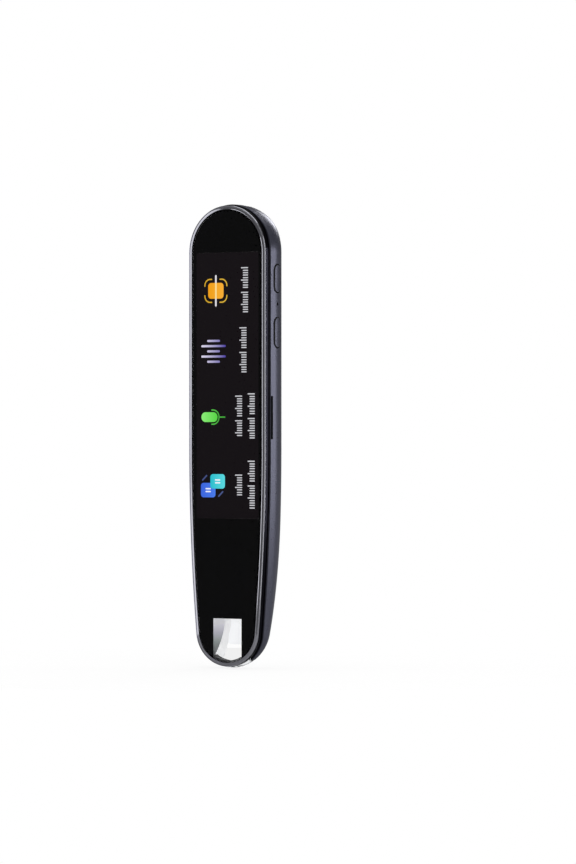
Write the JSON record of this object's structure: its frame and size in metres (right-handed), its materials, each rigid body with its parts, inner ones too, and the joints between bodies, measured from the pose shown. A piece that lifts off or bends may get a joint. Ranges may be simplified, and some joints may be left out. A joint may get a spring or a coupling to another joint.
{
  "type": "scanning pen",
  "caption": "Slim hand-held text scanning pen with a long touch display, a clear scanning nose, side buttons and a speaker plate in its back.",
  "frame": {"origin": "bottom centre of the pen standing on its nose, half way through its thickness", "axes": "+Z from nose to tail, +Y out of the back, the display faces -Y and the buttons are on +X"},
  "size_m": [0.0308, 0.0152, 0.147],
  "materials": {
    "shell": "satin anthracite paint",
    "frame": "dark navy chrome",
    "glass": "black printed cover glass, polished",
    "plate": "finely brushed dark grey",
    "clear": "clear moulded plastic, polished",
    "steel": "stamped and plated",
    "black": "moulded matt black",
    "foam": "soft foam or adhesive",
    "board": "green solder mask",
    "display": "display panel, lit",
    "film": "amber polyimide film",
    "cell": "laminated foil pouch",
    "lamp": "white moulded resin",
    "red": "red wire insulation"
  },
  "bodies": {
    "casing": {"back_shell": "shell", "battery": "cell", "battery_connector": "lamp", "battery_lead_black": "black", "battery_lead_red": "red", "battery_pad": "foam", "camera_flex": "film", "camera_lens": "glass", "camera_module": "black", "card_socket": "steel", "case_screw_1": "steel", "case_screw_2": "steel", "case_screw_3": "steel", "case_screw_4": "steel", "charge_chip": "black", "chip_antenna": "lamp", "cover_glass": "glass", "display_flex": "film", "display_panel": "display", "display_tray": "steel", "front_frame": "frame", "function_switch": "steel", "glass_adhesive": "foam", "light_board": "board", "light_led_left": "lamp", "light_led_right": "lamp", "main_board": "board", "memory_chip": "black", "microphone": "steel", "microphone_boot": "foam", "optics_bracket": "black", "power_switch": "steel", "shield_can": "steel", "speaker_cone": "black", "speaker_frame": "black", "speaker_gasket": "foam", "speaker_magnet": "steel", "speaker_mesh": "foam", "speaker_plate": "plate", "tip_switch": "steel", "usb_socket": "steel", "usb_tongue": "black"},
    "hood": {"scan_hood": "clear", "tip_switch_plunger": "black"},
    "power_key": {"power_button": "shell", "power_switch_plunger": "black"},
    "function_key": {"function_button": "shell", "function_switch_plunger": "black"}
  },
  "joints": [
    {"name": "power_button_press", "type": "slide", "parent": "casing", "child": "power_key", "axis": [-1, 0, 0], "range_m": [0, 0.0003], "stiffness_N_per_m": 1500, "springref_m": -0.0002},
    {"name": "function_button_press", "type": "slide", "parent": "casing", "child": "function_key", "axis": [-1, 0, 0], "range_m": [0, 0.0003], "stiffness_N_per_m": 1500, "springref_m": -0.0002},
    {"name": "scan_hood_press", "type": "slide", "parent": "casing", "child": "hood", "axis": [0, 0, 1], "range_m": [0, 0.0004], "stiffness_N_per_m": 1500, "springref_m": -0.0005}
  ]
}
